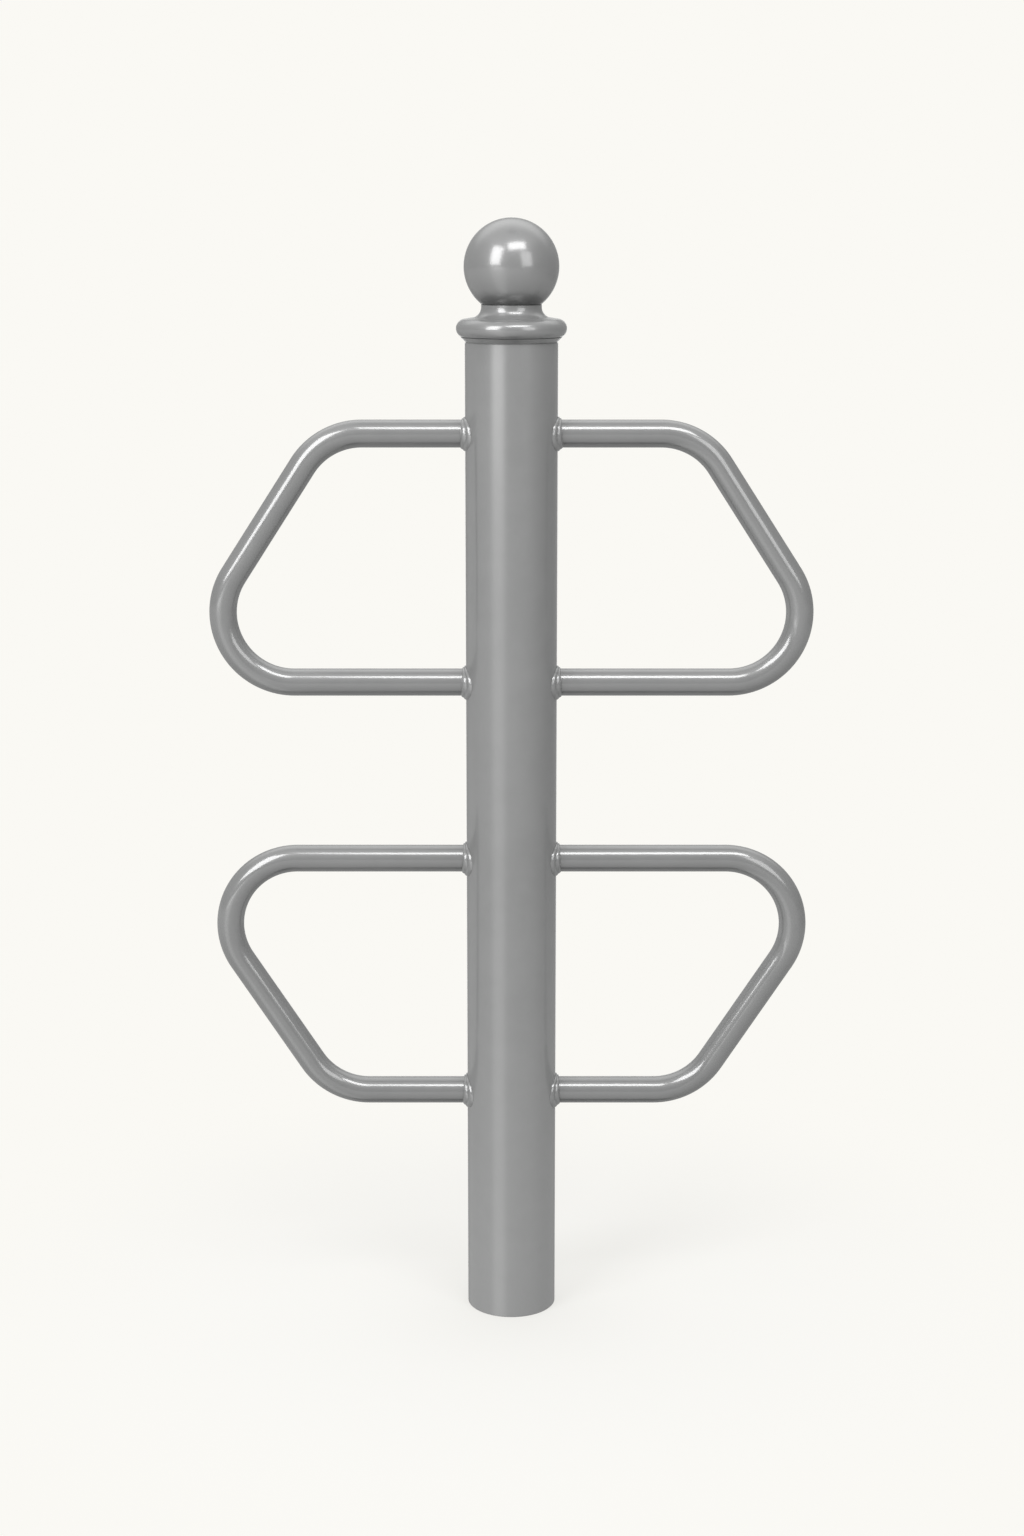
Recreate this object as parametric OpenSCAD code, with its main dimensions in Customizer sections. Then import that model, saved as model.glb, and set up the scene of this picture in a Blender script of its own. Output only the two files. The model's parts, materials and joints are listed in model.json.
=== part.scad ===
// Two tier bike rack: a pipe post with a ball finial and four bent tube loops,
// two on each side, welded to the post. Millimetres, +Z up, the origin is the
// centre of the post's foot on the ground, and the loops lie in the XZ plane.

/* [Post] */
// Outside diameter of the post, a 3 inch pipe
post_od = 88.9; // [80:0.1:102]
// Wall of the post
post_wall = 5.5; // [4:0.1:7]
// Height of the post above the highest rail's centre line
post_above = 86.5; // [50:0.5:150]
// How far the post's top is bored out, on the radius, for the plate and the spigot
top_bore = 1; // [0.5:0.1:2]
// Broken edge at both ends of the post
post_edge = 0.8; // [0.3:0.1:1.5]

/* [Loops] */
// Outside diameter of the loop tube, a 3/4 inch pipe
loop_od = 26.7; // [20:0.1:34]
// Wall of the loop tube
loop_wall = 2.9; // [2:0.1:4]
// Reach of a loop, from the post's face to the loop's outer edge
loop_reach = 249; // [200:1:320]
// Height of a loop, between the centre lines of its two rails
loop_h = 241.5; // [200:0.5:290]
// Angle of the leaning run above the horizontal
loop_slope = 57; // [45:1:70]
// Radius of the bends at the tube's centre line
bend_r = 68; // [50:1:82]

/* [Tiers] */
// Height of the lowest rail's centre line above the ground
low_rail_z = 228; // [150:1:275]
// Distance between the centre lines of the two tiers' facing rails
tier_gap = 177.5; // [120:0.5:215]

/* [Welds] */
// Leg of the fillet weld, along the tube and along the post
weld_leg = 4.5; // [3:0.1:7]
// How far the middle of the weld's face stands out from flat
weld_crown = 0.4; // [0.1:0.05:0.8]
// Share of its leg by which the weld spreads further along the post at the sides
weld_spread_share = 0.65; // [0:0.05:1]
// Gap at the root, between a loop's shaped end and the post
root_gap = 0.15; // [0.05:0.05:0.5]

/* [Collar] */
// How far the collar's bead stands out from the post's face
bead_out = 8.3; // [5:0.1:11]
// Thickness of the rounded bead
bead_d = 18; // [14:0.1:21]
// How far the lip under the bead stands out from the post's face
lip_out = 3.8; // [2:0.1:5]
// Height of the lip, which narrows down to the post
lip_h = 4.6; // [3:0.1:7]
// How far the bead sinks into the lip
bead_sink = 0.7; // [0.2:0.1:1.2]
// Rise of the shoulder, from the bead's top to the cove
shoulder_rise = 0.9; // [0.3:0.1:2]
// Radius of the cove between the shoulder and the neck
cove_r = 10; // [5:0.1:10.5]
// Outside diameter of the neck
neck_od = 57.6; // [50:0.1:58]
// Wall of the neck
neck_wall = 4.8; // [3.5:0.1:6]
// Straight height of the neck, from the cove to the ball
neck_straight = 2.4; // [1:0.1:8]
// Distance from the collar's seat up to the web inside it
web_z = 12; // [8:0.1:14]
// Thickness of the web that the stud passes through
web_t = 6; // [4:0.1:8]
// Length of the spigot inside the post
spigot_len = 22; // [16:0.5:30]
// Wall of the spigot
spigot_wall = 5; // [3:0.1:7]
// Clearance of the spigot in the post's top, on the radius
spigot_clear = 0.25; // [0.1:0.05:0.5]

/* [Ball] */
// Diameter of the ball
ball_od = 90.5; // [78:0.1:104]
// Wall of the ball
ball_wall = 4; // [2.5:0.1:6]
// Width of the neck's rim that shows round the ball
rim_w = 0.4; // [0.2:0.1:1]
// Diameter of the threaded boss in the foot of the ball
boss_d = 26; // [20:0.5:32]
// Height of the boss
boss_h = 20; // [14:0.5:28]
// Depth of the boss's thread that the stud leaves empty
boss_spare = 5; // [1:0.5:8]

/* [Clamp] */
// Diameter of the stud that holds the ball and the collar down
stud_d = 12; // [10:0.5:13]
// Diameter of the clearance holes for the stud
stud_hole_d = 13.5; // [13.2:0.1:16]
// Chamfer at the stud's ends
stud_chamfer = 1; // [0.5:0.1:2]
// Distance from the plate's underside up to the stud's end
stud_short = 1; // [0.5:0.5:3]
// Thickness of the plate on the ledge inside the post's top
plate_t = 6; // [4:0.5:8]
// Clearance of the plate in the post's top, on the radius
plate_clear = 0.3; // [0.1:0.05:0.6]
// Leg of the fillet weld round the plate's upper face
plate_weld_leg = 3; // [2:0.5:4]
// Gap between the spigot's end and the plate's weld
plate_drop = 1; // [0.5:0.5:6]
// Distance across the flats of the nut welded on the plate
nut_af = 18; // [17:0.5:24]
// Height of the nut
nut_h = 8; // [6:0.5:12]

/* [Hidden] */
$fn = 96;
// Gap between pieces that touch all round
fit_gap = 0.05;
// How far a cut runs past the face it opens
overrun = 1;
// A bend draws the tube's wall in a little, and laps into the runs it joins
bend_draw = 0.05;
bend_lap = 0.5;
// Sections round a weld, and steps across its face
weld_sections = 48;
weld_steps = 4;

paint = [0.58, 0.585, 0.58];
zinc = [0.78, 0.79, 0.8];

post_r = post_od / 2;
post_in_r = post_r - post_wall;
top_bore_r = post_in_r + top_bore;
post_h = low_rail_z + 2 * loop_h + tier_gap + post_above;
loop_r = loop_od / 2;
loop_in_r = loop_r - loop_wall;
// The turn, in degrees, that a bend's lap takes up
lap_turn = 180 * bend_lap / (PI * bend_r);

// A loop's centre line: the long rail is at height 0 and the short one at loop_h
outer_x = post_r + loop_reach - loop_r;
low_bend_x = outer_x - bend_r;
run_low = [low_bend_x + bend_r * sin(loop_slope), bend_r * (1 + cos(loop_slope))];
run_rise = loop_h - bend_r * (1 - cos(loop_slope)) - run_low.y;
run_len = run_rise / sin(loop_slope);
run_high_x = run_low.x - run_len * cos(loop_slope);
high_bend_x = run_high_x - bend_r * sin(loop_slope);

// Each tier: its name, the height of its long rail, and which way its short rail lies
TIERS = [
    ["upper", low_rail_z + loop_h + tier_gap, 1],
    ["lower", low_rail_z + loop_h, -1],
];
SIDES = [["left", -1], ["right", 1]];
// Each rail of a loop: its name and its share of the loop's height above the long rail
RAILS = [["long_rail", 0], ["short_rail", 1]];

function loop_name(tier, side) = str(tier[0], "_", side[0], "_loop");
function weld_name(tier, side, rail) =
    str(tier[0], "_", side[0], "_", rail[0], "_weld");

// Heights in the finial, above the post's top
bead_ring_r = post_r + bead_out - bead_d / 2;
bead_z = lip_h - bead_sink + bead_d / 2;
bead_top = bead_z + bead_d / 2;
shoulder_z = bead_top + shoulder_rise;
cove_top = shoulder_z + cove_r;
neck_top = cove_top + neck_straight;
neck_r = neck_od / 2;
neck_in_r = neck_r - neck_wall;
spigot_r = top_bore_r - spigot_clear;
spigot_in_r = spigot_r - spigot_wall;

// The ball sits in the neck, whose rim shows round it
function chord_half(r, along) = sqrt(r * r - along * along);
ball_r = ball_od / 2;
ball_z = neck_top + chord_half(ball_r, neck_r - rim_w);
boss_z = ball_z - chord_half(ball_r, boss_d / 2);
stud_top = boss_z + boss_h - boss_spare;

// The plate and the stud's lower end, below the post's top
plate_top = -spigot_len - plate_drop - plate_weld_leg;
plate_bottom = plate_top - plate_t;
stud_bottom = plate_bottom + stud_short;
thread_r = stud_d / 2 + fit_gap;

// The post's pipe, with its outer edges broken and its top bored out down to a ledge
module post_tube() {
    color(paint)
    rotate_extrude()
    polygon([
        [post_in_r, 0],
        [post_r - post_edge, 0],
        [post_r, post_edge],
        [post_r, post_h - post_edge],
        [post_r - post_edge, post_h],
        [top_bore_r, post_h],
        [top_bore_r, post_h + plate_bottom],
        [post_in_r, post_h + plate_bottom],
    ]);
}

// The tube's wall, seen along the tube, thinned on each side by draw
module tube_wall(draw = 0) {
    difference() {
        circle(r = loop_r - draw);
        circle(r = loop_in_r + draw);
    }
}

// A straight run of tube along +X, its end at the post shaped to the post's round
module coped_rail(end_x) {
    difference() {
        rotate([0, 90, 0])
        linear_extrude(end_x)
        tube_wall();
        translate([0, 0, -loop_od])
        cylinder(r = post_r + root_gap, h = 2 * loop_od);
    }
}

// A bend in the XZ plane about the origin, lapped a little into the runs it joins
module tube_bend(start, turn) {
    rotate([90, 0, 0])
    rotate([0, 0, start - lap_turn])
    rotate_extrude(angle = turn + 2 * lap_turn)
    translate([bend_r, 0])
    tube_wall(bend_draw);
}

// One bent tube: long rail, bend, leaning run, bend, short rail
module bent_loop() {
    color(paint) {
        coped_rail(low_bend_x);
        translate([low_bend_x, 0, bend_r])
        tube_bend(-90, 180 - loop_slope);
        translate([run_low.x, 0, run_low.y])
        rotate([0, loop_slope - 90, 0])
        linear_extrude(run_len)
        tube_wall();
        translate([high_bend_x, 0, loop_h - bend_r])
        tube_bend(90 - loop_slope, loop_slope);
        translate([0, 0, loop_h])
        coped_rail(high_bend_x);
    }
}

// Distance from the post's axis to its face, along X, at a point that lies at
// radius rad and angle a round a rail's axis
function saddle(rad, a) = chord_half(post_r, rad * cos(a));

// A point given by its distance along the rail, and its radius and angle round it
function round_rail(along, rad, a) = [along, rad * cos(a), rad * sin(a)];

// The section of a weld at angle a: its crowned face from the toe on the tube to
// the toe on the post, then back along the post to the root
function weld_section(a) =
    let (
        rad_in = loop_r + fit_gap,
        rad_out = loop_r + weld_leg * (1 + weld_spread_share * pow(cos(a), 2)),
        toe_tube = [post_r + weld_leg, rad_in],
        toe_post = [saddle(rad_out, a) + fit_gap, rad_out],
        face = toe_post - toe_tube,
        outward = [face.y, -face.x] / norm(face),
        mid = (rad_in + rad_out) / 2
    )
    concat(
        [
            for (i = [0 : weld_steps])
            let (
                share = i / weld_steps,
                p = toe_tube + face * share + outward * weld_crown * sin(180 * share)
            )
            round_rail(p.x, p.y, a)
        ],
        [for (rad = [mid, rad_in]) round_rail(saddle(rad, a) + fit_gap, rad, a)]
    );

// The fillet weld where a rail that runs along +X at height 0 meets the post
module fillet_weld() {
    sections = [for (i = [0 : weld_sections - 1]) weld_section(360 * i / weld_sections)];
    n = len(sections[0]);
    color(paint)
    polyhedron(
        points = [for (section = sections) each section],
        faces = [
            for (i = [0 : weld_sections - 1], j = [0 : n - 1])
            let (
                next_i = (i + 1) % weld_sections,
                next_j = (j + 1) % n,
                corners = [i * n + j, i * n + next_j, next_i * n + next_j, next_i * n + j]
            )
            each [
                [corners[0], corners[1], corners[2]],
                [corners[0], corners[2], corners[3]],
            ]
        ]
    );
}

// Places a piece made for the right-hand side at height 0 in its tier
module on_post(tier, side) {
    translate([0, 0, tier[1]])
    rotate([0, 0, side[1] < 0 ? 180 : 0])
    mirror([0, 0, tier[2] < 0 ? 1 : 0])
    children();
}

// Half of the collar's section: spigot, lip, bead, shoulder, cove and neck
module collar_section() {
    // Casting, up to the shoulder
    polygon([
        [spigot_in_r, -spigot_len],
        [spigot_r, -spigot_len],
        [spigot_r, 0],
        [post_r - post_edge, 0],
        [post_r + lip_out, lip_h],
        [bead_ring_r, lip_h],
        [bead_ring_r, bead_top],
        [neck_r + cove_r, shoulder_z],
        [neck_in_r, shoulder_z],
        [neck_in_r, web_z + web_t],
        [stud_hole_d / 2, web_z + web_t],
        [stud_hole_d / 2, web_z],
        [spigot_in_r, web_z],
    ]);
    // Bead
    translate([bead_ring_r, bead_z])
    circle(d = bead_d);
    // Neck, with the cove at its foot and the ball's seat in its rim
    difference() {
        union() {
            translate([neck_in_r, shoulder_z])
            square([neck_wall + cove_r, cove_r]);
            translate([neck_in_r, shoulder_z])
            square([neck_wall, neck_top - shoulder_z]);
        }
        translate([neck_r + cove_r, cove_top])
        circle(r = cove_r);
        translate([0, ball_z])
        circle(r = ball_r + fit_gap);
    }
}

// The cast collar, which sits on the post and centres itself by its spigot
module finial_collar() {
    color(paint)
    translate([0, 0, post_h])
    rotate_extrude()
    collar_section();
}

// The hollow ball, bored at its foot for the boss
module finial_ball() {
    color(paint)
    translate([0, 0, post_h + ball_z])
    difference() {
        sphere(r = ball_r);
        sphere(r = ball_r - ball_wall);
        translate([0, 0, -ball_od])
        cylinder(r = boss_d / 2 + fit_gap, h = ball_od);
    }
}

// The threaded boss welded into the foot of the ball
module ball_boss() {
    color(zinc)
    translate([0, 0, post_h + boss_z])
    difference() {
        cylinder(d = boss_d, h = boss_h);
        translate([0, 0, -overrun])
        cylinder(r = thread_r, h = boss_h + 2 * overrun);
    }
}

// The stud from the nut on the plate, through the collar's web, to the boss
module finial_stud() {
    stud_len = stud_top - stud_bottom;
    color(zinc)
    translate([0, 0, post_h + stud_bottom])
    rotate_extrude()
    polygon([
        [0, 0],
        [stud_d / 2 - stud_chamfer, 0],
        [stud_d / 2, stud_chamfer],
        [stud_d / 2, stud_len - stud_chamfer],
        [stud_d / 2 - stud_chamfer, stud_len],
        [0, stud_len],
    ]);
}

// The round plate on the ledge inside the post's top, below the spigot
module top_plate() {
    color(zinc)
    translate([0, 0, post_h + plate_bottom])
    difference() {
        cylinder(r = top_bore_r - plate_clear, h = plate_t);
        translate([0, 0, -overrun])
        cylinder(d = stud_hole_d, h = plate_t + 2 * overrun);
    }
}

// The fillet weld round the plate's upper face, on the inside of the post
module top_plate_weld() {
    weld_r = top_bore_r - fit_gap;
    color(zinc)
    translate([0, 0, post_h + plate_top + fit_gap])
    rotate_extrude()
    polygon([
        [weld_r, 0],
        [weld_r, plate_weld_leg],
        [weld_r - plate_weld_leg, 0],
    ]);
}

// The hexagon nut welded on the plate
module top_plate_nut() {
    color(zinc)
    translate([0, 0, post_h + plate_top])
    difference() {
        cylinder(d = nut_af / cos(30), h = nut_h, $fn = 6);
        translate([0, 0, -overrun])
        cylinder(r = thread_r, h = nut_h + 2 * overrun);
    }
}

post_tube();
for (tier = TIERS, side = SIDES) {
    on_post(tier, side) bent_loop();
    for (rail = RAILS)
        on_post(tier, side)
            translate([0, 0, rail[1] * loop_h])
            fillet_weld();
}
finial_collar();
finial_ball();
ball_boss();
finial_stud();
top_plate();
top_plate_weld();
top_plate_nut();
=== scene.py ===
import json
import math

import bpy
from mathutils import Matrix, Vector


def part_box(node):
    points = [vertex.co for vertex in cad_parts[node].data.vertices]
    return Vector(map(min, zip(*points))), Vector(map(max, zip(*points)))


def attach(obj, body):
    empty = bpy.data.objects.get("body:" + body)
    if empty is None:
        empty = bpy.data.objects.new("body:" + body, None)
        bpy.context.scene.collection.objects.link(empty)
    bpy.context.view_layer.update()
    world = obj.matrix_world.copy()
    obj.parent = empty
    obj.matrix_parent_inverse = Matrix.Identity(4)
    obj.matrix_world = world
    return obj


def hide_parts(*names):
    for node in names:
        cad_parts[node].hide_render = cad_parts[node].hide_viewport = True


# Two tier bike rack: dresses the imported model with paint, weld beads and a pale studio.
# Everything is in metres, with the post's foot at the origin and the loops along X.
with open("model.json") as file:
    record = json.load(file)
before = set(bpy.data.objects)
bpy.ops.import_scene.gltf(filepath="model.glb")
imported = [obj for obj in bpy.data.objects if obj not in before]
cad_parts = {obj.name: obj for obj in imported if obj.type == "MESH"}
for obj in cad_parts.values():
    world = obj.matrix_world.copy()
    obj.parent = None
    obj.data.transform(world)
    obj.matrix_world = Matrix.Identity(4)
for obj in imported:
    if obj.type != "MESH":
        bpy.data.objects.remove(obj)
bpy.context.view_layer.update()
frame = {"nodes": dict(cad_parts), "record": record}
mm = 0.001
print("frame loaded:", len(frame["nodes"]), "pieces")


# Shader nodes, written as sums

class Wire:
    def __init__(self, book, socket):
        self.book = book
        self.socket = socket

    def __add__(self, other):
        return self.book.maths("ADD", self, other)

    def __radd__(self, other):
        return self.book.maths("ADD", other, self)

    def __sub__(self, other):
        return self.book.maths("SUBTRACT", self, other)

    def __rsub__(self, other):
        return self.book.maths("SUBTRACT", other, self)

    def __mul__(self, other):
        return self.book.maths("MULTIPLY", self, other)

    def __rmul__(self, other):
        return self.book.maths("MULTIPLY", other, self)

    def __abs__(self):
        return self.book.maths("ABSOLUTE", self)


class NodeBook:
    def __init__(self, tree):
        self.tree = tree
        tree.nodes.clear()

    def node(self, kind, settings=None, inputs=None, output=0):
        made = self.tree.nodes.new(kind)
        for name, value in (settings or {}).items():
            setattr(made, name, value)
        for name, value in (inputs or {}).items():
            if isinstance(value, Wire):
                self.tree.links.new(value.socket, made.inputs[name])
            else:
                made.inputs[name].default_value = value
        if not made.outputs:
            return None
        return Wire(self, made.outputs[output])

    def maths(self, operation, *terms):
        return self.node("ShaderNodeMath", {"operation": operation}, dict(enumerate(terms)))

    def noise(self, where, scale, detail):
        return self.node(
            "ShaderNodeTexNoise", {"noise_dimensions": "3D"},
            {"Vector": where, "Scale": scale, "Detail": detail, "Roughness": 0.5})

    def blend(self, factor, first, second):
        # sockets 6 and 7 are the two colours, and output 2 is their mix
        return self.node(
            "ShaderNodeMix", {"data_type": "RGBA", "blend_type": "MIX"},
            {"Factor": factor, 6: first, 7: second}, output=2)

    def smoothStep(self, value, edge):
        low, high = edge
        return self.node(
            "ShaderNodeMapRange", {"interpolation_type": "SMOOTHSTEP"},
            {"Value": value, "From Min": low, "From Max": high, "To Min": 0.0, "To Max": 1.0})


noiseMiddle = 0.5


def shade(colour, share):
    return tuple(channel * share for channel in colour) + (1,)


def newMaterial(name):
    material = bpy.data.materials.new(name)
    material.use_nodes = True
    return material, NodeBook(material.node_tree)


# Paint: a glossy mid grey powder coat over slightly uneven steel.
# A band of another shade fades out upward from its base: painted light at the post's foot, paler
# paint standing in for the light the floor throws up onto it, and painted shade on the ball, darker
# paint round its seat in the collar, where shade falls.

paint = {
    "colour": (0.168, 0.1695, 0.169),
    "warmShare": 1.04,
    "coolShare": 0.96,
    "toneEdge": (0.35, 0.65),
    "cloudShare": 0.65,
    "cloudScale": 9.0,
    "cloudDetail": 3.0,
    "patchScale": 55.0,
    "patchDetail": 2.0,
    "roughness": 0.4,
    "roughnessSpread": 0.06,
    "index": 1.5,
    "coatRoughness": 0.14,
    "coatIndex": 1.8,
    "waveScale": 38.0,
    "waveDetail": 0.0,
    "waveHeight": 0.012 * mm,
    "paintedLightShadeBase": 0.0,
    "paintedLightShadeStart": -1.0 * mm,
    "paintedLightShadeReach": 0.0,
    "paintedLightShadeShare": 1.0,
    "paintedLightShadeLeast": 0.75,
    "paintedLightShadePatches": 0.5,
}


# Mask of the band of painted light (post's foot) and painted shade (ball's seat): full at its base,
# fading out upward
def paintedLightShadeMask(book, place, patches, look):
    rise = book.node("ShaderNodeSeparateXYZ", inputs={0: place}, output="Z") - look["paintedLightShadeBase"]
    paintedLightShade = 1 - book.smoothStep(rise, (0.0, look["paintedLightShadeReach"]))
    paintedLightShade = paintedLightShade * book.smoothStep(rise, (look["paintedLightShadeStart"], 0.0))
    return paintedLightShade * (look["paintedLightShadeLeast"] + patches * look["paintedLightShadePatches"])


def paintMaterial(name, changes):
    look = {**paint, **changes}
    material, book = newMaterial(name)
    place = book.node("ShaderNodeTexCoord", output="Object")
    clouds = book.noise(place, look["cloudScale"], look["cloudDetail"])
    patches = book.noise(place, look["patchScale"], look["patchDetail"])
    mottle = clouds * look["cloudShare"] + patches * (1 - look["cloudShare"])
    tone = book.smoothStep(mottle, look["toneEdge"])
    colour = book.blend(tone, shade(look["colour"], look["coolShare"]),
                        shade(look["colour"], look["warmShare"]))
    # paints the band into the colour: painted light on the post, painted shade on the finial
    if look["paintedLightShadeReach"]:
        colour = book.blend(paintedLightShadeMask(book, place, patches, look), colour,
                            shade(look["colour"], look["paintedLightShadeShare"]))
    roughness = look["roughness"] + (patches - noiseMiddle) * look["roughnessSpread"]
    waves = book.noise(place, look["waveScale"], look["waveDetail"]) * look["waveHeight"]
    bump = book.node("ShaderNodeBump", inputs={"Strength": 1.0, "Distance": 1.0, "Height": waves})
    shader = book.node(
        "ShaderNodeBsdfPrincipled",
        inputs={"Base Color": colour, "Roughness": roughness, "Normal": bump,
                "IOR": look["index"], "Coat Weight": 1.0, "Coat IOR": look["coatIndex"],
                "Coat Roughness": look["coatRoughness"]})
    book.node("ShaderNodeOutputMaterial", inputs={"Surface": shader})
    return material


# Steel: bare from the mill or zinc plated, for what is inside the finial and the post's top

steel = {
    "colour": (0.42, 0.42, 0.43),
    "grainScale": 300.0,
    "grainDetail": 4.0,
    "grainShades": (0.85, 1.1),
    "roughness": 0.42,
    "roughnessSpread": 0.25,
}


def steelMaterial(name, changes):
    look = {**steel, **changes}
    material, book = newMaterial(name)
    place = book.node("ShaderNodeTexCoord", output="Object")
    grain = book.noise(place, look["grainScale"], look["grainDetail"])
    dark, light = look["grainShades"]
    colour = book.blend(grain, shade(look["colour"], dark), shade(look["colour"], light))
    roughness = look["roughness"] + (grain - noiseMiddle) * look["roughnessSpread"]
    shader = book.node(
        "ShaderNodeBsdfPrincipled",
        inputs={"Base Color": colour, "Metallic": 1.0, "Roughness": roughness})
    book.node("ShaderNodeOutputMaterial", inputs={"Surface": shader})
    return material


materials = {
    # painted light: the post's paint turns paler towards the foot, standing in for light bounced
    # off the floor
    "post_paint": paintMaterial("postPaint", {"paintedLightShadeReach": 0.5, "paintedLightShadeShare": 1.23}),
    "loop_paint": paintMaterial("loopPaint", {"warmShare": 0.95, "coolShare": 0.88}),
    "weld_paint": paintMaterial("weldPaint", {"waveScale": 250.0, "waveHeight": 0.01 * mm}),
    # painted shade: the ball's paint is darkened round its seat in the collar, where shade falls
    "finial_paint": paintMaterial("finialPaint", {
        "warmShare": 1.0, "coolShare": 0.94, "coatRoughness": 0.19,
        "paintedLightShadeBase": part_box("finial_collar")[1].z, "paintedLightShadeReach": 16.0 * mm, "paintedLightShadeShare": 0.25}),
    "plain_steel": steelMaterial("millSteel", {}),
    "plated_steel": steelMaterial("zincSteel", {
        "colour": (0.62, 0.64, 0.66), "roughness": 0.3, "grainScale": 90.0}),
}

for entry in frame["record"]["subparts"]:
    piece = frame["nodes"][entry["node"]]
    for materialSlot in piece.material_slots:
        materialSlot.material = materials[entry["material_slot"]]
print("materials made:", len(materials))


# Loops: one tube, swept along its rails, its leaning run and its two bends, then mirrored

loop = {
    "around": 80,
    "wall": 2.9 * mm,
    "bendRadius": 68.0 * mm,
    "slope": 57.0,
    "runStep": 6.0 * mm,
    "turnStep": 2.5,
    "mergeReach": 0.001 * mm,
    "endReach": 0.01 * mm,
    "endGap": 0.15 * mm,
    "smoothAngle": 40.0,
}
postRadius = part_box("post_tube")[1].x
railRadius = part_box("upper_right_loop")[1].y


def extrudeAlong(way, length):
    steps = round(length / loop["runStep"])
    for step in range(steps):
        bpy.ops.mesh.extrude_region_move(TRANSFORM_OT_translate={"value": way * (length / steps)})


def spinBend(turn, centre):
    bpy.ops.mesh.spin(steps=round(turn / loop["turnStep"]), angle=math.radians(turn),
                      center=centre, axis=(0, 1, 0))


def postFace(across):
    return math.sqrt(postRadius ** 2 - across ** 2)


def makeLoop():
    low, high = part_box("upper_right_loop")
    longRail = low.z + railRadius
    shortRail = high.z - railRadius
    bendRadius = loop["bendRadius"]
    slope = math.radians(loop["slope"])
    lowBend = high.x - railRadius - bendRadius
    runStart = Vector((lowBend + bendRadius * math.sin(slope), 0,
                       longRail + bendRadius * (1 + math.cos(slope))))
    runRise = shortRail - bendRadius * (1 - math.cos(slope)) - runStart.z
    runWay = Vector((-math.cos(slope), 0, math.sin(slope)))
    runLength = runRise / math.sin(slope)
    highBend = runStart.x + runWay.x * runLength - bendRadius * math.sin(slope)
    bpy.ops.object.select_all(action="DESELECT")
    bpy.ops.mesh.primitive_circle_add(
        vertices=loop["around"], radius=railRadius, fill_type="NOTHING",
        location=(postRadius, 0, longRail), rotation=(0, math.pi / 2, 0))
    tube = bpy.context.object
    bpy.ops.object.transform_apply(location=True, rotation=True, scale=True)
    bpy.ops.object.mode_set(mode="EDIT")
    bpy.ops.mesh.select_all(action="SELECT")
    extrudeAlong(Vector((1, 0, 0)), lowBend - postRadius)
    spinBend(180 - loop["slope"], (lowBend, 0, longRail + bendRadius))
    extrudeAlong(runWay, runLength)
    spinBend(loop["slope"], (highBend, 0, shortRail - bendRadius))
    extrudeAlong(Vector((-1, 0, 0)), highBend - postRadius)
    bpy.ops.mesh.select_all(action="SELECT")
    bpy.ops.mesh.remove_doubles(threshold=loop["mergeReach"])
    bpy.ops.mesh.normals_make_consistent(inside=False)
    bpy.ops.object.mode_set(mode="OBJECT")
    for vertex in tube.data.vertices:
        if vertex.co.x < postRadius + loop["endReach"]:
            vertex.co.x = postFace(vertex.co.y) + loop["endGap"]
    wall = tube.modifiers.new("wall", "SOLIDIFY")
    wall.thickness = loop["wall"]
    wall.offset = -1
    bpy.ops.object.modifier_apply(modifier=wall.name)
    bpy.ops.object.shade_smooth_by_angle(angle=math.radians(loop["smoothAngle"]))
    return tube


def placeLoop(tube, nodeName):
    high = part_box(nodeName)[1]
    upsideDown = nodeName.startswith("lower")
    flip = (-1 if high.x < 0 else 1, 1, -1 if upsideDown else 1)
    lift = high.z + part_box("upper_right_loop")[0].z if upsideDown else 0
    bpy.ops.object.select_all(action="DESELECT")
    tube.select_set(True)
    bpy.context.view_layer.objects.active = tube
    bpy.ops.object.duplicate()
    copy = bpy.context.object
    copy.name = nodeName + "_tube"
    bpy.ops.object.mode_set(mode="EDIT")
    bpy.ops.mesh.select_all(action="SELECT")
    bpy.ops.transform.resize(value=flip, center_override=(0, 0, 0))
    bpy.ops.transform.translate(value=(0, 0, lift))
    bpy.ops.mesh.normals_make_consistent(inside=False)
    bpy.ops.object.mode_set(mode="OBJECT")
    copy.data.materials.append(materials["loop_paint"])
    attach(copy, "root")
    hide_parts(nodeName)


firstTube = makeLoop()
loopNodes = sorted(name for name in frame["nodes"] if name.endswith("_loop"))
for nodeName in loopNodes:
    placeLoop(firstTube, nodeName)
bpy.data.objects.remove(firstTube, do_unlink=True)
print("loops bent:", len(loopNodes))


# Weld beads: two rippled passes side by side, laid in the corner between rail and post

weld = {
    "alongLeg": 4.0 * mm,
    "upLeg": 3.0 * mm,
    "sideLeg": 9.2 * mm,
    "passes": 2,
    "passShare": 0.15,
    "underFade": 0.75,
    "clearance": 0.06 * mm,
    "ripples": 34,
    "rippleHeight": 0.1 * mm,
    "rippleLag": 0.6,
    "wanderShare": 0.05,
    "wanderWaves": ((2, 1.7), (5, 2.9)),
    "droopShare": 0.16,
    "stepsRound": 256,
    "stepsAcross": 32,
    "faceStart": 0.75 * math.pi,
    "smoothAngle": 50.0,
}


def wander(turn, seed):
    waves = [math.sin(count * turn + shift * seed) for count, shift in weld["wanderWaves"]]
    return sum(waves) / len(waves)


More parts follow.
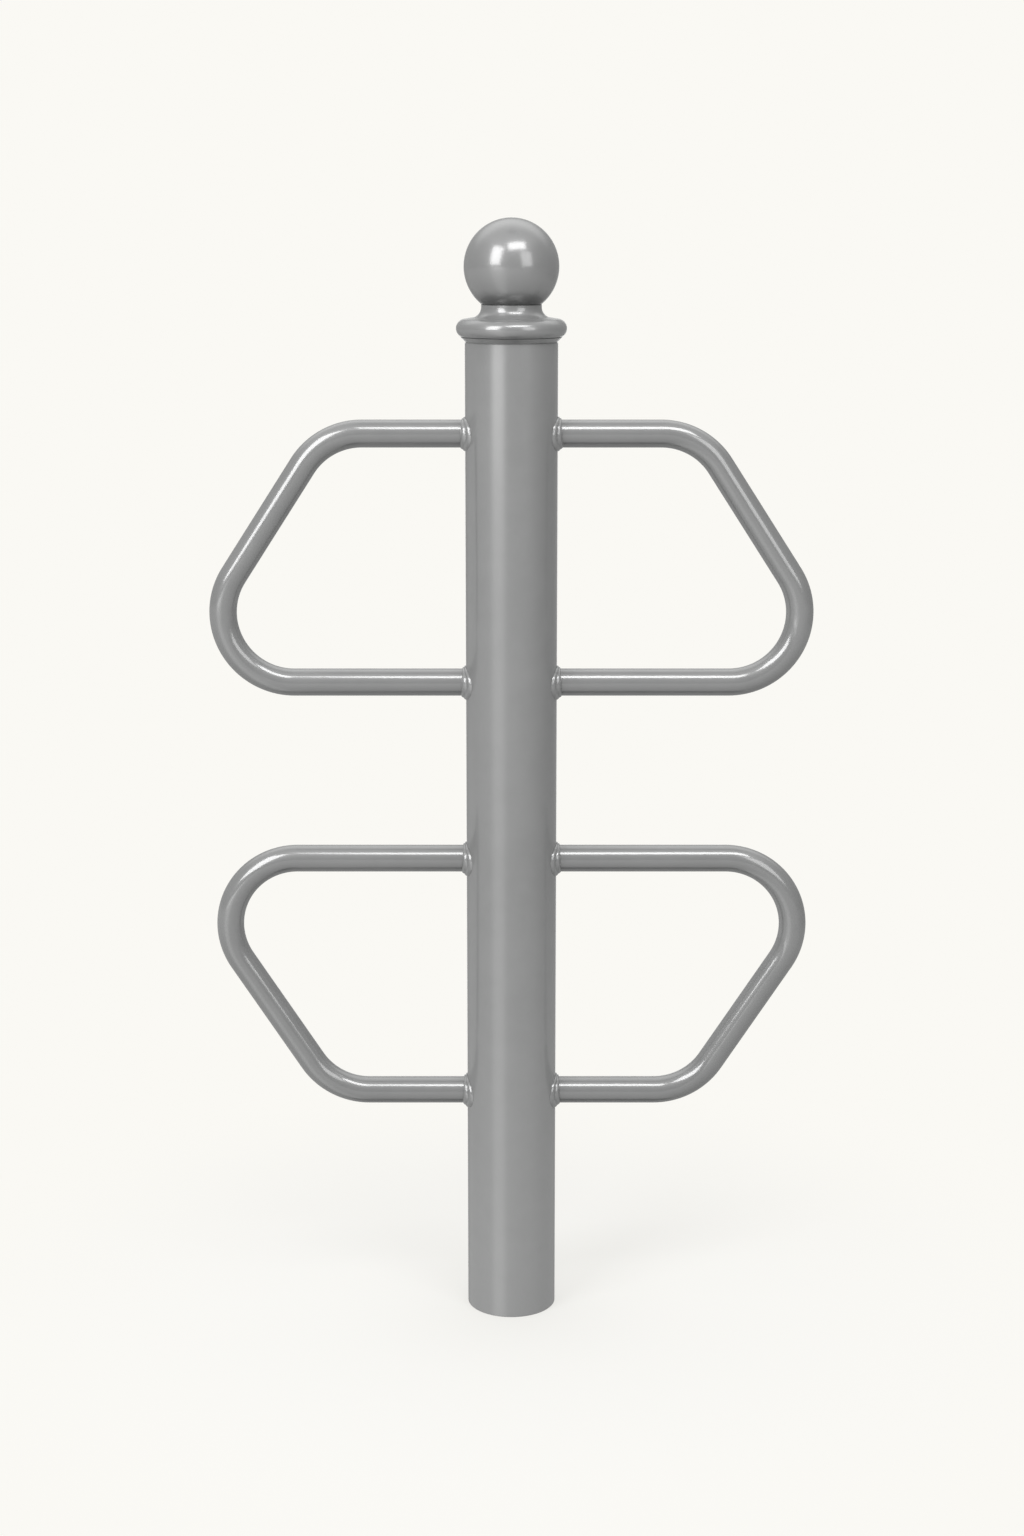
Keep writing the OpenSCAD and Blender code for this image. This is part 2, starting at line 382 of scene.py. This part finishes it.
def beadPoint(turn, part, seed):
    # part runs 0 to 1 over the face, from the rail's toe to the post's, and 1 to 2 round the root,
    # from the rail's toe to the post's again, so the section crosses itself behind the face
    size = 1 + weld["wanderShare"] * wander(turn, seed) - weld["droopShare"] * math.sin(turn)
    spread = weld["upLeg"] + (weld["sideLeg"] - weld["upLeg"]) * math.cos(turn) ** 2
    inner = railRadius + weld["clearance"]
    outer = railRadius + spread * size
    railToe = Vector((postRadius + weld["alongLeg"] * size, inner))
    postToe = Vector((postFace(outer * math.cos(turn)) + weld["clearance"], outer))
    if part > 1:
        back = part - 1
        if back > 0.5:
            radius = outer + (inner - outer) * (2 - 2 * back)
            return Vector((postFace(radius * math.cos(turn)) + weld["clearance"], radius))
        corner = Vector((postFace(inner * math.cos(turn)) + weld["clearance"], inner))
        return railToe.lerp(corner, 2 * back)
    face = postToe - railToe
    outward = Vector((face.y, -face.x)).normalized()
    arch = abs(math.sin(math.pi * weld["passes"] * part))
    phase = weld["ripples"] * turn / (2 * math.pi) - weld["rippleLag"] * arch
    ripple = abs(math.sin(math.pi * phase))
    fade = 1 - weld["underFade"] * (1 - math.sin(turn)) / 2
    lift = (face.length * weld["passShare"] * fade + weld["rippleHeight"] * ripple) * arch
    return railToe + face * part + outward * lift


def makeBead(nodeName, seed):
    low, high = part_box(nodeName)
    side = 1 if low.x > 0 else -1
    height = (low.z + high.z) / 2
    middle = railRadius + weld["upLeg"] / 2
    bpy.ops.object.select_all(action="DESELECT")
    bpy.ops.mesh.primitive_torus_add(
        major_segments=weld["stepsRound"], minor_segments=weld["stepsAcross"],
        major_radius=middle, minor_radius=weld["upLeg"] / 2)
    bead = bpy.context.object
    bead.name = nodeName.replace("_weld", "_bead")
    for vertex in bead.data.vertices:
        turn = math.atan2(vertex.co.y, vertex.co.x)
        around = math.atan2(vertex.co.z, math.hypot(vertex.co.x, vertex.co.y) - middle)
        part = ((weld["faceStart"] - around) / math.pi) % 2
        along, radius = beadPoint(turn, part, seed)
        vertex.co = (side * along, radius * math.cos(turn), height + radius * math.sin(turn))
    bpy.ops.object.mode_set(mode="EDIT")
    bpy.ops.mesh.select_all(action="SELECT")
    bpy.ops.mesh.normals_make_consistent(inside=False)
    bpy.ops.object.mode_set(mode="OBJECT")
    bpy.ops.object.shade_smooth_by_angle(angle=math.radians(weld["smoothAngle"]))
    bead.data.materials.append(materials["weld_paint"])
    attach(bead, "root")
    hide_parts(nodeName)


weldNodes = sorted(name for name in frame["nodes"] if name.endswith("rail_weld"))
for seed, nodeName in enumerate(weldNodes):
    makeBead(nodeName, seed)
print("weld beads laid:", len(weldNodes))


# Studio: a pale floor that melts into the backdrop, a room that only the paint mirrors, a soft fill
# over everything, and three soft boxes

studio = {
    "pale": (0.957, 0.945, 0.905),
    "neutral": (0.94, 0.942, 0.936),
    "floorSize": 60.0,
    "floorSteps": 40,
    "floorShade": 0.58,
    "floorBounce": 0.34,
    "shadowShare": 0.34,
    "shadowEdge": (0.2, 0.68),
    # painted contact shadow: the floor's colour is darkened a little round the post's foot
    "paintedContactShadowShare": 0.05,
    "paintedContactShadowEdge": (0.045, 0.2),
    "fillShade": 1.12,
    "fillBack": 0.62,
    "fillSide": -0.1,
    "boxReach": 3.6,
    "aimPoint": Vector((0, 0, 1.0)),
}

# What the paint mirrors, by direction, with right, ahead and up along X, Y and Z: walls, a ceiling
# with a dim middle, a bright stretch high ahead, a floor that is paler on the right and duller
# ahead, black straight below, the left box's glow on the floor, and the pale backdrop ahead.
# An edge is the stretch over which its part fades in or out.

room = {
    "wall": 0.36,
    "wallSwing": -0.06,
    "ceiling": 0.72,
    "ceilingEdge": (0.55, 0.8),
    "zenith": 0.3,
    "zenithEdge": (0.985, 0.997),
    "topBack": 0.68,
    "topBackAheadEdge": (0.15, 0.5),
    "topBackUpEdge": (0.35, 0.65),
    "floor": 0.62,
    "floorSwing": 0.3,
    "brightTurn": -35.0,
    "nearFloor": 0.22,
    "nearDownEdge": (0.2, 0.36),
    "nearRightEdge": (0.2, 1.0),
    "farFloor": 0.38,
    "farAheadEdge": (0.65, 0.88),
    "farUpEdge": (-0.7, -0.4),
    "foot": (0, -0.1, -0.995),
    "footEdge": (0.97, 0.981),
    "horizonEdge": (-0.1, -0.01),
    "glow": 0.6,
    "glowTurn": 33.0,
    "glowWidth": (5.0, 26.0),
    "glowDownEdge": (0.015, 0.045),
    "glowTop": 2.8,
    "glowTopEdge": (-0.13, -0.03),
    "backdrop": 0.6,
    "backdropAheadEdge": (0.85, 0.95),
    "backdropSideEdge": (0.19, 0.26),
    "backdropFootEdge": (-0.5, -0.3),
    "backdropTopEdge": (0.1, 0.3),
}


def rayKinds(book):
    toCamera = book.node("ShaderNodeLightPath", output="Is Camera Ray")
    toGlossy = book.node("ShaderNodeLightPath", output="Is Glossy Ray")
    toTransmission = book.node("ShaderNodeLightPath", output="Is Transmission Ray")
    return toCamera, book.maths("MAXIMUM", toGlossy, toTransmission)


def makeFloor():
    bpy.ops.object.select_all(action="DESELECT")
    bpy.ops.mesh.primitive_grid_add(
        x_subdivisions=studio["floorSteps"], y_subdivisions=studio["floorSteps"],
        size=studio["floorSize"])
    floor = bpy.context.object
    floor.name = "studioFloor"
    material, book = newMaterial("paleFloor")
    place = book.node("ShaderNodeTexCoord", output="Object")
    distance = book.node("ShaderNodeVectorMath", {"operation": "LENGTH"}, {0: place},
                         output="Value")
    near = 1 - book.smoothStep(distance, studio["shadowEdge"])
    # painted contact shadow: darker floor colour round the post's foot, on top of the real shadow
    # the lamps cast
    paintedContactShadow = 1 - book.smoothStep(distance, studio["paintedContactShadowEdge"])
    toCamera, mirrored = rayKinds(book)
    shownColour = book.blend(
        paintedContactShadow * studio["paintedContactShadowShare"],
        shade(studio["neutral"], studio["floorShade"]), shade(studio["neutral"], 0))
    litColour = book.blend(
        toCamera, shade(studio["neutral"], studio["floorBounce"]), shownColour)
    lit = book.node("ShaderNodeBsdfDiffuse", inputs={"Color": litColour})
    glow = book.node(
        "ShaderNodeEmission", inputs={"Color": shade(studio["pale"], 1), "Strength": 1.0})
    factor = 1 - mirrored - toCamera * (1 - near * studio["shadowShare"])
    mixed = book.node("ShaderNodeMixShader", inputs={0: factor, 1: glow, 2: lit})
    book.node("ShaderNodeOutputMaterial", inputs={"Surface": mixed})
    floor.data.materials.append(material)
    floor.visible_glossy = False  # the room below the horizon stands for it in the paint


def upperLevel(book, right, ahead, up):
    ceiling = book.smoothStep(up, room["ceilingEdge"]) * (room["ceiling"] - room["wall"])
    zenith = book.smoothStep(up, room["zenithEdge"]) * (room["ceiling"] - room["zenith"])
    topBack = book.smoothStep(ahead, room["topBackAheadEdge"])
    topBack = topBack * book.smoothStep(up, room["topBackUpEdge"])
    walls = room["wall"] + right * room["wallSwing"]
    return walls + ceiling - zenith + topBack * room["topBack"]


def lowerLevel(book, toward, right, ahead, up):
    brightTurn = math.radians(room["brightTurn"])
    toBright = right * math.sin(brightTurn) - ahead * math.cos(brightTurn)
    level = room["floor"] + toBright * room["floorSwing"]
    near = book.smoothStep(0 - up, room["nearDownEdge"])
    near = near * book.smoothStep(right, room["nearRightEdge"])
    level = level + near * room["nearFloor"]
    far = book.smoothStep(ahead, room["farAheadEdge"]) * book.smoothStep(up, room["farUpEdge"])
    level = level + far * (room["farFloor"] - level)
    foot = book.node("ShaderNodeVectorMath", {"operation": "DOT_PRODUCT"},
                     {0: toward, 1: room["foot"]}, output="Value")
    return level * (1 - book.smoothStep(foot, room["footEdge"]))


def glowLevel(book, right, ahead, up):
    turn = book.maths("ARCTAN2", 0 - right, 0 - ahead)
    offTurn = abs(turn - math.radians(room["glowTurn"]))
    narrow, wide = (math.radians(width) for width in room["glowWidth"])
    glow = 1 - book.smoothStep(offTurn, (narrow, wide))
    glow = glow * (room["glow"] + book.smoothStep(up, room["glowTopEdge"]) * room["glowTop"])
    return glow * book.smoothStep(0 - up, room["glowDownEdge"])


def backdropLevel(book, right, ahead, up):
    backdrop = book.smoothStep(ahead, room["backdropAheadEdge"])
    backdrop = backdrop * (1 - book.smoothStep(abs(right), room["backdropSideEdge"]))
    backdrop = backdrop * book.smoothStep(up, room["backdropFootEdge"])
    backdrop = backdrop * (1 - book.smoothStep(up, room["backdropTopEdge"]))
    return backdrop * room["backdrop"]


def roomLevel(book, toward, right, ahead, up):
    upper = upperLevel(book, right, ahead, up)
    lower = lowerLevel(book, toward, right, ahead, up)
    below = 1 - book.smoothStep(up, room["horizonEdge"])
    level = upper + below * (lower - upper) + glowLevel(book, right, ahead, up)
    return level + backdropLevel(book, right, ahead, up)


def makeRoom():
    world = bpy.data.worlds.new("studioRoom")
    bpy.context.scene.world = world
    world.use_nodes = True
    world.cycles.sampling_method = "NONE"  # the room is smooth, so the paint shows less grain
    book = NodeBook(world.node_tree)
    toCamera, mirrored = rayKinds(book)
    toward = book.node("ShaderNodeTexCoord", output="Generated")
    right, ahead, up = (book.node("ShaderNodeSeparateXYZ", inputs={0: toward}, output=axis)
                        for axis in "XYZ")
    fill = (1 + ahead * studio["fillBack"] + right * studio["fillSide"]) * studio["fillShade"]
    strength = toCamera + mirrored * roomLevel(book, toward, right, ahead, up)
    strength = strength + (1 - toCamera - mirrored) * fill
    colour = book.blend(toCamera, shade(studio["neutral"], 1), shade(studio["pale"], 1))
    background = book.node(
        "ShaderNodeBackground", inputs={"Color": colour, "Strength": strength})
    book.node("ShaderNodeOutputWorld", inputs={"Surface": background})


softBoxes = {
    "leftBox": {"turn": -40, "lift": 26, "size": (1.65, 2.7), "radiance": 5.6},
    "topBox": {"turn": 18, "lift": 51, "size": (2.46, 1.15), "radiance": 6.1},
    "rightBox": {"turn": 38, "lift": 18, "size": (1.6, 2.1), "radiance": 2.25},
}


def makeSoftBox(name, look):
    turn = math.radians(look["turn"])
    lift = math.radians(look["lift"])
    away = Vector((math.cos(lift) * math.sin(turn), -math.cos(lift) * math.cos(turn),
                   math.sin(lift)))
    data = bpy.data.lights.new(name, "AREA")
    data.shape = "RECTANGLE"
    data.size, data.size_y = look["size"]
    # a rectangle's watts are four times its area times its radiance
    data.energy = 4 * data.size * data.size_y * look["radiance"]
    box = bpy.data.objects.new(name, data)
    bpy.context.scene.collection.objects.link(box)
    box.location = studio["aimPoint"] + away * studio["boxReach"]
    box.rotation_euler = (-away).to_track_quat("-Z", "Y").to_euler()
    box.visible_camera = False


makeFloor()
makeRoom()
for name, look in softBoxes.items():
    makeSoftBox(name, look)
print("studio ready")


# Camera: level with the ball's top, looking along +Y and down

view = {
    "distance": 2.43,
    "height": 1.0926,
    "pitch": 12.34,
    "focalPixels": 2526.7,
    "centrePixel": 511.455,
    "imageSize": (1024, 1536),
    "sensor": 36.0,
}


def makeCamera():
    wide, high = view["imageSize"]
    data = bpy.data.cameras.new("photoCamera")
    data.sensor_width = view["sensor"]
    data.lens = view["focalPixels"] / high * view["sensor"]
    data.shift_x = (wide / 2 - view["centrePixel"]) / high
    camera = bpy.data.objects.new("photoCamera", data)
    bpy.context.scene.collection.objects.link(camera)
    camera.location = (0, -view["distance"], view["height"])
    camera.rotation_euler = (math.radians(90 - view["pitch"]), 0, 0)
    bpy.context.scene.camera = camera


makeCamera()
bpy.context.scene.view_settings.view_transform = "Standard"
print("camera set")
